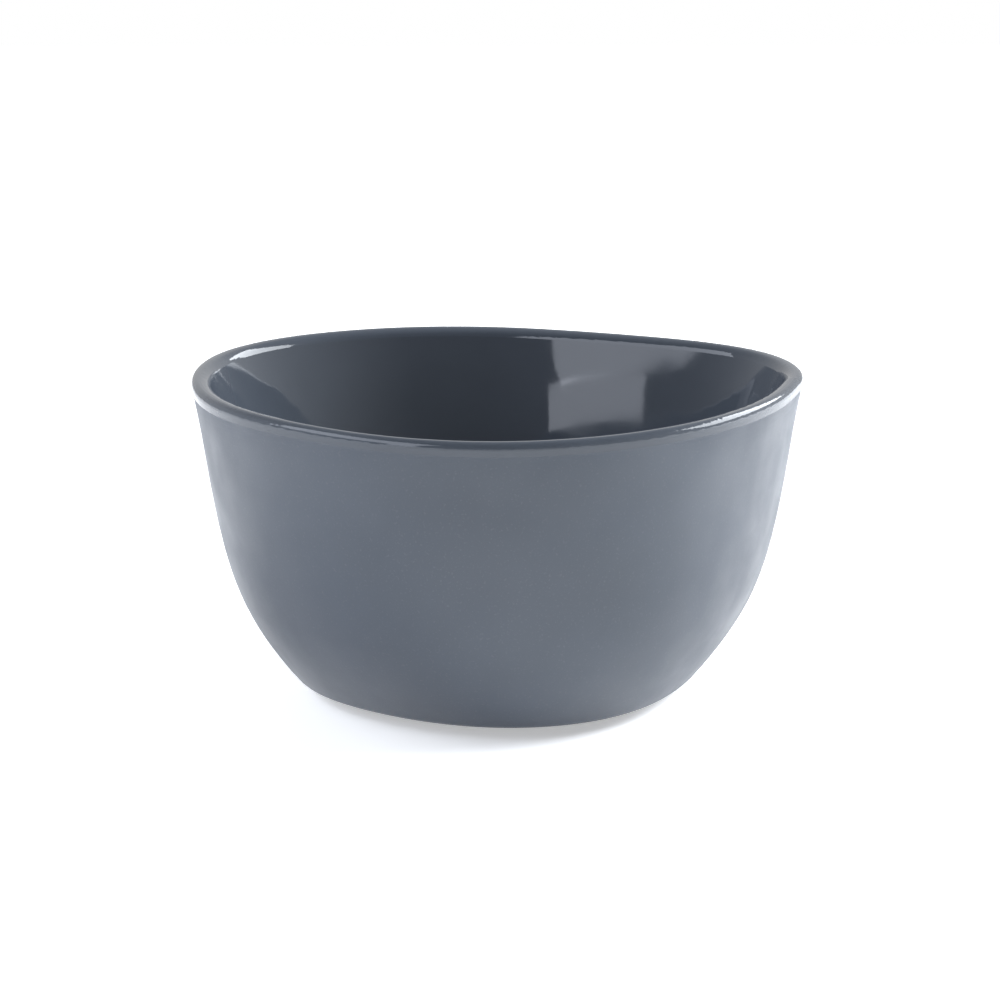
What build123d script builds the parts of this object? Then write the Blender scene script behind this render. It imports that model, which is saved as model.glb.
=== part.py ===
"""Deep organic bowl: a satin outer shell with a glossy liner bonded inside it.

Millimetres, +Z up, +X to the bowl's right, +Y to its back.  The origin is on
the surface that the bowl stands on, under the middle of the whole bowl.

The wall is a family of level outlines, each a rounded triangle:
radius(angle) = mean radius * (1 + lobes).  The foot's triangle points another
way than the rim's, so the wall twists gently from one to the other.
"""
import os
from math import cos, radians, sin

from build123d import *

os.makedirs("parts", exist_ok=True)

# ------------------------------------------------------------ driving dimensions
HEIGHT = 77.0            # table to the crest of the lip
RIM_RADIUS = 75.6        # mean radius of the outer face at the lip
HEEL_RADIUS = 50.1       # mean radius of the heel, where the wall turns under
HEEL_HEIGHT = 3.4
FOOT_RADIUS = 37.0       # mean radius of the foot ring's outer edge

# Mean profile of the wall's outer face from the heel to the lip: (radius, height)
WALL_PROFILE = [
    (HEEL_RADIUS, HEEL_HEIGHT), (56.2, 10.7), (63.0, 21.8), (68.9, 40.2),
    (72.2, 58.6), (RIM_RADIUS, HEIGHT),
]

# Lobes of an outline: (how many, height as a share of the radius, angle of one of them)
RIM_LOBES = [(2, 0.0175, -57), (3, 0.042, 21.5), (4, 0.0155, 20), (5, 0.003, 25), (6, 0.0063, 26)]
FOOT_LOBES = [(2, 0.010, 74), (3, 0.045, 40), (4, 0.025, 28)]
RIM_CENTRE = (-1.6, 2.2)
FOOT_CENTRE = (0.9, 0.8)

WALL = 4.6               # wall thickness at the lip, both layers together
BASE_THICKENING = 4.0    # the wall is this much thicker at the heel, so the inside tapers more
FLOOR = 5.4              # floor thickness, both layers together
LINER = 1.4              # thickness of the glossy layer
PARTING_DROP = 3.4       # the glossy layer turns over the lip and ends this far below it

LIP_OUTER_ROUND = 1.6
LIP_INNER_ROUND = 2.8
HEEL_ROUND = 3.0
FLOOR_ROUND = 18.0       # sweep of the cavity's floor up into its wall
FOOT_RING = 4.5          # width of the ring that the bowl stands on
FOOT_RECESS = 1.2        # the underside inside the ring is this much higher
FOOT_ROUND = 0.5

OUTLINE_ANGLES = range(0, 360, 15)
WALL_STEPS = [0.0, 0.08, 0.18, 0.30, 0.45, 0.60, 0.75, 0.88, 1.0]

# ------------------------------------------------------------ outlines of the wall
with BuildLine(Plane.XZ):
    profile = Spline(WALL_PROFILE)


def lobed(mean_radius, lobes, angle):
    """Radius of a lobed outline at an angle in degrees."""
    waves = (share * cos(radians(count * (angle - peak))) for count, share, peak in lobes)
    return mean_radius * (1 + sum(waves))


def level(height, mean_radius, inset=0.0):
    """The outline where the wall's outer face has this mean radius, shrunk by `inset`."""
    opening = (mean_radius - FOOT_RADIUS) / (RIM_RADIUS - FOOT_RADIUS)
    centre_x, centre_y = (a + (b - a) * opening for a, b in zip(FOOT_CENTRE, RIM_CENTRE))
    points = []
    for angle in OUTLINE_ANGLES:
        foot = lobed(FOOT_RADIUS, FOOT_LOBES, angle)
        rim = lobed(RIM_RADIUS, RIM_LOBES, angle)
        radius = foot + (rim - foot) * opening - inset
        x = centre_x + radius * cos(radians(angle))
        y = centre_y + radius * sin(radians(angle))
        points.append((x, y))
    with BuildSketch(Plane.XY.offset(height)) as outline:
        with BuildLine():
            Spline(points, periodic=True)
        make_face()
    return outline.sketch


def wall_level(step, depth=0.0):
    """The outline at one step up the wall's profile, `depth` inside its outer face."""
    point = profile @ step
    direction = profile % step
    return level(point.Z + depth * direction.X, point.X, depth * direction.Z)


# ------------------------------------------------------------ the hollow
def hollow(depth, floor, floor_round):
    """The space inside the bowl as a solid, its wall `depth` inside the outer face at the lip."""
    levels = [wall_level(step, depth + BASE_THICKENING * (1 - step)) for step in WALL_STEPS]
    with BuildPart() as space:
        loft(sections=[level(floor, HEEL_RADIUS, depth + BASE_THICKENING)] + levels)
        extrude(space.faces().sort_by(Axis.Z)[-1], amount=WALL)
        fillet(space.edges().group_by(Axis.Z)[0], floor_round)
    return space.part


cavity = hollow(WALL, FLOOR, FLOOR_ROUND)
core = hollow(WALL - LINER, FLOOR - LINER, FLOOR_ROUND + LINER)
parting = Plane.XY.offset(HEIGHT - PARTING_DROP)

# ------------------------------------------------------------ both layers in one
with BuildPart() as bowl:
    # Outside: the wall, the underside that slopes in to the foot, and the heel between them
    loft(sections=[wall_level(step) for step in WALL_STEPS])
    loft(sections=[level(0, FOOT_RADIUS), wall_level(0)], ruled=True)
    heel = bowl.edges().filter_by_position(Axis.Z, HEEL_HEIGHT - 0.1, HEEL_HEIGHT + 0.1)
    fillet(heel, HEEL_ROUND)

    # Inside, and the lip: a wide roll inwards and a small rounding outwards
    add(cavity, mode=Mode.SUBTRACT)
    lip = bowl.faces().sort_by(Axis.Z)[-1]
    fillet(lip.edges().sort_by(SortBy.LENGTH)[0], LIP_INNER_ROUND)
    lip = bowl.faces().sort_by(Axis.Z)[-1]
    fillet(lip.edges().sort_by(SortBy.LENGTH)[-1], LIP_OUTER_ROUND)

    # The foot ring is what the recess leaves of the flat underside
    extrude(level(0, FOOT_RADIUS, FOOT_RING), amount=FOOT_RECESS, mode=Mode.SUBTRACT)
    foot = bowl.faces().sort_by(Axis.Z)[0]
    fillet(foot.edges(), FOOT_ROUND)

# ------------------------------------------------------------ the satin outer layer
with BuildPart() as outer_shell:
    add(bowl.part)
    add(core, mode=Mode.SUBTRACT)
    split(bisect_by=parting, keep=Keep.BOTTOM)

outer_shell.part.label = "outer_shell"
export_step(outer_shell.part, "parts/outer_shell.step")

# ------------------------------------------------------------ the glossy inner layer
with BuildPart() as inner_liner:
    add(core)
    split(bisect_by=parting, keep=Keep.BOTTOM)
    # A slab above the parting line takes in the whole lip
    with BuildSketch(parting):
        Circle(2 * RIM_RADIUS)
    extrude(amount=2 * PARTING_DROP)
    add(bowl.part, mode=Mode.INTERSECT)

inner_liner.part.label = "inner_liner"
export_step(inner_liner.part, "parts/inner_liner.step")
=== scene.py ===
"""A deep slate-grey moulded bowl: satin outside, glossy inside and over the lip."""
from math import cos, pi, radians, sin

import bpy
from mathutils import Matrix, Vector


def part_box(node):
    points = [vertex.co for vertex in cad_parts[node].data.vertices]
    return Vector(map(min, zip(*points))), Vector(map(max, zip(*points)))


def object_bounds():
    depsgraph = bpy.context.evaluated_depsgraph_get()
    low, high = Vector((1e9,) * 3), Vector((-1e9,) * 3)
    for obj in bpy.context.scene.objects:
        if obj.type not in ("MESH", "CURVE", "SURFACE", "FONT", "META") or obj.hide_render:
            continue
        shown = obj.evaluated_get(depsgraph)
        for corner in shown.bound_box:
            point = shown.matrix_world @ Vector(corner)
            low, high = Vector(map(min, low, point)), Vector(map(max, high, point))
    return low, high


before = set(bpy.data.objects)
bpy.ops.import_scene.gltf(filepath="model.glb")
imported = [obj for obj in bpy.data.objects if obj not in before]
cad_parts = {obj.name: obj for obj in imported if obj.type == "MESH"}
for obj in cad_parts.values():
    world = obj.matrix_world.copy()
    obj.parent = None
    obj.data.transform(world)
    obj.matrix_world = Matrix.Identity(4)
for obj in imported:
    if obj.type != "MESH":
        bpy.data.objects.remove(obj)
cad_low, cad_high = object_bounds()

# ------------------------------------------------------------ places, from the frame, in metres
MIDDLE = (cad_low + cad_high) / 2
WIDTH = cad_high.x - cad_low.x
TABLE_HEIGHT = cad_low.z
PARTING_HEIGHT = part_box("outer_shell")[1].z      # the satin layer ends where the glossy one begins
SANDED_FROM = PARTING_HEIGHT - 0.006             # the sanding reaches this far down the shell
SANDED_TO = PARTING_HEIGHT + 0.0024              # and this far up the outside of the lip
FOOT_WEAR_HEIGHT = TABLE_HEIGHT + 0.005
FLOOR_WEAR_HEIGHT = TABLE_HEIGHT + 0.030
GROUND_HALF_SIZE = 10 * WIDTH
GROUND_GAP = 0.00002                             # keeps the ground from touching the foot's face

# ------------------------------------------------------------ the look
SLATE = (0.041, 0.053, 0.073, 1.0)
SLATE_DEEP = (0.037, 0.048, 0.066, 1.0)
SLATE_PALE = (0.11, 0.12, 0.14, 1.0)
GLOSS_SLATE = (0.062, 0.072, 0.088, 1.0)
GLOSS_SLATE_DEEP = (0.055, 0.064, 0.079, 1.0)
RESIN_IOR = 1.5
SATIN_SPECULAR = 0.65
SATIN_ROUGHNESS = 0.40
GLOSS_ROUGHNESS = 0.05
GROUND_COLOUR = (0.90, 0.90, 0.90, 1.0)
GROUND_ROUGHNESS = 0.6
GROUND_GLOW = 0.40

# ------------------------------------------------------------ the light
COOL = (0.91, 0.95, 1.0)
COOLER = (0.84, 0.89, 1.0)
ROOM_FRONT = 0.15
ROOM_BACK = 0.65
ROOM_RIGHT = 0.25        # added to the others, towards the right
ROOM_CEILING = 0.45      # the others are multiplied by this overhead

# ------------------------------------------------------------ the camera
VIEW_ELEVATION = radians(12.45)
VIEW_DISTANCE = 0.987
SENSOR_WIDTH = 36        # millimetres, like the lens
LENS = 144.54
AIM = Vector((0.00058, 0.00307, 0.04631))

# A Mix node has one pair of inputs and one output for each kind of data: these are the colours'.
MIX_FIRST_COLOUR, MIX_SECOND_COLOUR = 6, 7
MIX_COLOUR_RESULT = 2


class Nodes:
    """Builds one procedural material, with the Principled shader as its end."""

    def __init__(self, name):
        self.material = bpy.data.materials.new(name)
        self.material.use_nodes = True
        self.tree = self.material.node_tree
        self.shader = self.tree.nodes["Principled BSDF"]
        coordinates = self.tree.nodes.new("ShaderNodeTexCoord")
        self.place = coordinates.outputs["Object"]
        self.facing = coordinates.outputs["Normal"]

    def link(self, source, target):
        self.tree.links.new(source, target)

    def noise(self, scale, detail=2.0, roughness=0.5, place=None):
        """Cloudy values round one half, with `scale` blobs to the metre."""
        node = self.tree.nodes.new("ShaderNodeTexNoise")
        node.inputs["Scale"].default_value = scale
        node.inputs["Detail"].default_value = detail
        node.inputs["Roughness"].default_value = roughness
        self.link(place or self.place, node.inputs["Vector"])
        return node.outputs["Fac"]

    def stretch(self, scale):
        """The object's coordinates, scaled along each axis."""
        node = self.tree.nodes.new("ShaderNodeMapping")
        node.inputs["Scale"].default_value = scale
        self.link(self.place, node.inputs["Vector"])
        return node.outputs["Vector"]

    def spread(self, value, low, high, to_low=0, to_high=1):
        """Maps low..high to to_low..to_high, clamped."""
        node = self.tree.nodes.new("ShaderNodeMapRange")
        numbers = (("From Min", low), ("From Max", high), ("To Min", to_low), ("To Max", to_high))
        for socket, number in numbers:
            node.inputs[socket].default_value = number
        self.link(value, node.inputs["Value"])
        return node.outputs["Result"]

    def math(self, operation, first, second):
        node = self.tree.nodes.new("ShaderNodeMath")
        node.operation = operation
        for socket, value in zip(node.inputs, (first, second)):
            if isinstance(value, (int, float)):
                socket.default_value = value
            else:
                self.link(value, socket)
        return node.outputs["Value"]

    def blend(self, share, first, second):
        """A colour between two colours."""
        node = self.tree.nodes.new("ShaderNodeMix")
        node.data_type = "RGBA"
        self.link(share, node.inputs["Factor"])
        for index, colour in ((MIX_FIRST_COLOUR, first), (MIX_SECOND_COLOUR, second)):
            if isinstance(colour, tuple):
                node.inputs[index].default_value = colour
            else:
                self.link(colour, node.inputs[index])
        return node.outputs[MIX_COLOUR_RESULT]

    def bump(self, height, strength, distance, normal=None):
        """Relief `distance` metres deep, on top of the relief in `normal`."""
        node = self.tree.nodes.new("ShaderNodeBump")
        node.inputs["Strength"].default_value = strength
        node.inputs["Distance"].default_value = distance
        self.link(height, node.inputs["Height"])
        if normal:
            self.link(normal, node.inputs["Normal"])
        return node.outputs["Normal"]

    def height(self):
        node = self.tree.nodes.new("ShaderNodeSeparateXYZ")
        self.link(self.place, node.inputs["Vector"])
        return node.outputs["Z"]

    def outside(self):
        """1 where the surface faces away from the bowl's axis, 0 where it faces the inside."""
        node = self.tree.nodes.new("ShaderNodeVectorMath")
        node.operation = "DOT_PRODUCT"
        self.link(self.facing, node.inputs[0])
        self.link(self.stretch((1, 1, 0)), node.inputs[1])
        return self.spread(node.outputs["Value"], low=0, high=0.02)


def satin_melamine():
    """The shell: a fine moulded texture with smoother and rougher patches, and a worn foot."""
    m = Nodes("satin_melamine")
    m.shader.inputs["IOR"].default_value = RESIN_IOR
    m.shader.inputs["Specular IOR Level"].default_value = SATIN_SPECULAR
    cloud = m.spread(m.noise(scale=34, detail=3), low=0.35, high=0.65)
    colour = m.blend(cloud, SLATE_DEEP, SLATE)
    speckle = m.spread(m.noise(scale=1900, detail=1), low=0.62, high=0.74, to_high=0.22)
    colour = m.blend(speckle, colour, SLATE_PALE)
    # Scuffs at the foot, where the bowl slides on the table
    near_table = m.spread(m.height(), low=FOOT_WEAR_HEIGHT, high=TABLE_HEIGHT)
    streaks = m.noise(scale=1100, detail=4, place=m.stretch((1, 0.2, 5)))
    scuffs = m.spread(streaks, low=0.5, high=0.7, to_high=0.3)
    worn = m.math("MULTIPLY", near_table, scuffs)
    m.link(m.blend(worn, colour, SLATE_PALE), m.shader.inputs["Base Color"])
    # Just under the parting line the shell was sanded flush, in fine level scratches
    near_parting = m.spread(m.height(), low=SANDED_FROM, high=PARTING_HEIGHT)
    scratches = m.noise(scale=900, detail=2, place=m.stretch((0.12, 0.12, 2.5)))
    sanded = m.math("MULTIPLY", near_parting, scratches)
    patches = m.noise(scale=60, detail=4)
    rubbed = m.spread(patches, 0.35, 0.65, to_low=SATIN_ROUGHNESS - 0.05, to_high=SATIN_ROUGHNESS + 0.05)
    roughness = m.math("ADD", rubbed, m.math("MULTIPLY", sanded, 0.12))
    m.link(roughness, m.shader.inputs["Roughness"])
    relief = m.bump(m.noise(scale=2600, detail=2), strength=0.30, distance=0.00003)
    relief = m.bump(m.noise(scale=30, detail=2), strength=0.10, distance=0.0004, normal=relief)
    relief = m.bump(sanded, strength=0.5, distance=0.00004, normal=relief)
    m.link(relief, m.shader.inputs["Normal"])
    return m.material


def gloss_melamine():
    """The liner: polished, with a slight wave, an orange peel and hairline scratches on the floor."""
    m = Nodes("gloss_melamine")
    m.shader.inputs["IOR"].default_value = RESIN_IOR
    cloud = m.spread(m.noise(scale=26, detail=3), low=0.35, high=0.65)
    m.link(m.blend(cloud, GLOSS_SLATE_DEEP, GLOSS_SLATE), m.shader.inputs["Base Color"])
    # Spoons dull the floor a little
    near_floor = m.spread(m.height(), low=FLOOR_WEAR_HEIGHT, high=TABLE_HEIGHT)
    streaks = m.noise(scale=240, detail=4, roughness=0.7, place=m.stretch((1, 0.08, 1)))
    hairlines = m.spread(streaks, low=0.52, high=0.6, to_high=0.22)
    dulled = m.math("MULTIPLY", near_floor, hairlines)
    # The outside of the lip was sanded along the parting line, unevenly
    near_parting = m.spread(m.height(), low=SANDED_TO, high=PARTING_HEIGHT)
    passes = m.spread(m.noise(scale=38, detail=2), low=0.42, high=0.6, to_low=0.15)
    band = m.math("MULTIPLY", m.math("MULTIPLY", near_parting, m.outside()), passes)
    scratches = m.noise(scale=1100, detail=3, roughness=0.65, place=m.stretch((0.25, 0.25, 1.6)))
    sanded = m.math("MULTIPLY", band, scratches)
    patches = m.noise(scale=46, detail=4)
    film = m.spread(patches, 0.35, 0.65, to_low=GLOSS_ROUGHNESS - 0.02, to_high=GLOSS_ROUGHNESS + 0.03)
    polish = m.math("ADD", film, m.math("MULTIPLY", band, 0.22))
    m.link(m.math("ADD", polish, dulled), m.shader.inputs["Roughness"])
    relief = m.bump(m.noise(scale=48, detail=1), strength=0.16, distance=0.0004)
    relief = m.bump(m.noise(scale=700, detail=1), strength=0.05, distance=0.00002, normal=relief)
    relief = m.bump(sanded, strength=0.6, distance=0.00006, normal=relief)
    m.link(relief, m.shader.inputs["Normal"])
    return m.material


def finish_node(name, material):
    """Gives a CAD node its material and smooth shading."""
    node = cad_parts[name]
    for slot in node.material_slots:
        slot.material = material
    node.data.polygons.foreach_set("use_smooth", [True] * len(node.data.polygons))


def ground():
    """A plain pale floor, which glows a little so that the bowl's shadow stays light."""
    mesh = bpy.data.meshes.new("floor")
    half = GROUND_HALF_SIZE
    height = TABLE_HEIGHT - GROUND_GAP
    corners = [(x * half, y * half, height) for x, y in ((-1, -1), (1, -1), (1, 1), (-1, 1))]
    mesh.from_pydata(corners, [], [(0, 1, 2, 3)])
    plane = bpy.data.objects.new("floor", mesh)
    bpy.context.scene.collection.objects.link(plane)
    material = bpy.data.materials.new("pale_floor")
    material.use_nodes = True
    shader = material.node_tree.nodes["Principled BSDF"]
    shader.inputs["Base Color"].default_value = GROUND_COLOUR
    shader.inputs["Roughness"].default_value = GROUND_ROUGHNESS
    shader.inputs["Emission Color"].default_value = (1, 1, 1, 1)
    shader.inputs["Emission Strength"].default_value = GROUND_GLOW
    mesh.materials.append(material)


def softbox(name, azimuth, elevation, distance, size, radiance, colour, mirrored=True):
    """A rectangular light that faces the bowl.  Azimuth 0 is behind the camera, 90 to its right."""
    data = bpy.data.lights.new(name, "AREA")
    data.shape = "RECTANGLE"
    data.size, data.size_y = size
    data.energy = radiance * pi * size[0] * size[1]
    data.color = colour
    light = bpy.data.objects.new(name, data)
    bpy.context.scene.collection.objects.link(light)
    a, e = radians(azimuth), radians(elevation)
    away = Vector((sin(a) * cos(e), -cos(a) * cos(e), sin(e)))
    light.location = MIDDLE + distance * away
    light.rotation_mode = "QUATERNION"
    light.rotation_quaternion = away.to_track_quat("Z", "Y")
    light.visible_camera = False
    light.visible_glossy = mirrored


def room():
    """Brighter behind and to the right, dim in front, where the camera stands, which itself sees white."""
    world = bpy.data.worlds.new("studio")
    bpy.context.scene.world = world
    world.use_nodes = True
    tree = world.node_tree
    direction = tree.nodes.new("ShaderNodeTexCoord")
    split = tree.nodes.new("ShaderNodeSeparateXYZ")
    tree.links.new(direction.outputs["Generated"], split.inputs["Vector"])

    def ramp(axis, low, high, to_low, to_high):
        """A smooth change of brightness along one axis of the direction."""
        node = tree.nodes.new("ShaderNodeMapRange")
        node.interpolation_type = "SMOOTHSTEP"
        numbers = (("From Min", low), ("From Max", high), ("To Min", to_low), ("To Max", to_high))
        for socket, number in numbers:
            node.inputs[socket].default_value = number
        tree.links.new(split.outputs[axis], node.inputs["Value"])
        return node.outputs["Result"]

    def combine(operation, first, second):
        node = tree.nodes.new("ShaderNodeMath")
        node.operation = operation
        tree.links.new(first, node.inputs[0])
        tree.links.new(second, node.inputs[1])
        return node.outputs["Value"]

    front_to_back = ramp("Y", -0.7, 0.6, to_low=ROOM_FRONT, to_high=ROOM_BACK)
    to_the_right = ramp("X", 0.25, 0.95, to_low=0, to_high=ROOM_RIGHT)
    walls_to_ceiling = ramp("Z", 0.25, 0.8, to_low=1, to_high=ROOM_CEILING)
    brightness = combine("MULTIPLY", combine("ADD", front_to_back, to_the_right), walls_to_ceiling)
    seen = tree.nodes.new("ShaderNodeLightPath")
    pick = tree.nodes.new("ShaderNodeMix")
    tree.links.new(seen.outputs["Is Camera Ray"], pick.inputs["Factor"])
    tree.links.new(brightness, pick.inputs["A"])
    pick.inputs["B"].default_value = 1.0
    background = tree.nodes["Background"]
    tree.links.new(pick.outputs["Result"], background.inputs["Strength"])
    background.inputs["Color"].default_value = (1, 1, 1, 1)


def studio():
    room()
    # The white highlights on the lip, at the back left and the front right
    softbox("key", 122, 28, 1.3, (1.15, 0.50), 8, COOL)
    # Smooth shading from both sides, without mirror images in the gloss
    softbox("right_wash", 100, 38, 1.4, (1.0, 0.7), 13, COOL, mirrored=False)
    softbox("left_wash", -112, 34, 1.4, (0.9, 0.6), 6, COOL, mirrored=False)
    # The long bright strip under the lip at the back right, and the patch on the wall below it
    softbox("side_bank", -68, 31, 1.4, (1.5, 0.87), 3.4, COOLER)
    softbox("side_foot", -44.5, 6.6, 1.3, (0.296, 0.30), 3.2, COOLER)
    bpy.context.scene.view_settings.view_transform = "Standard"


def camera():
    data = bpy.data.cameras.new("camera")
    data.lens = LENS
    data.sensor_width = SENSOR_WIDTH
    eye = bpy.data.objects.new("camera", data)
    bpy.context.scene.collection.objects.link(eye)
    back = Vector((0, -cos(VIEW_ELEVATION), sin(VIEW_ELEVATION)))
    eye.location = AIM + VIEW_DISTANCE * back
    eye.rotation_mode = "QUATERNION"
    eye.rotation_quaternion = back.to_track_quat("Z", "Y")
    bpy.context.scene.camera = eye


finish_node("outer_shell", satin_melamine())
finish_node("inner_liner", gloss_melamine())
ground()
studio()
camera()
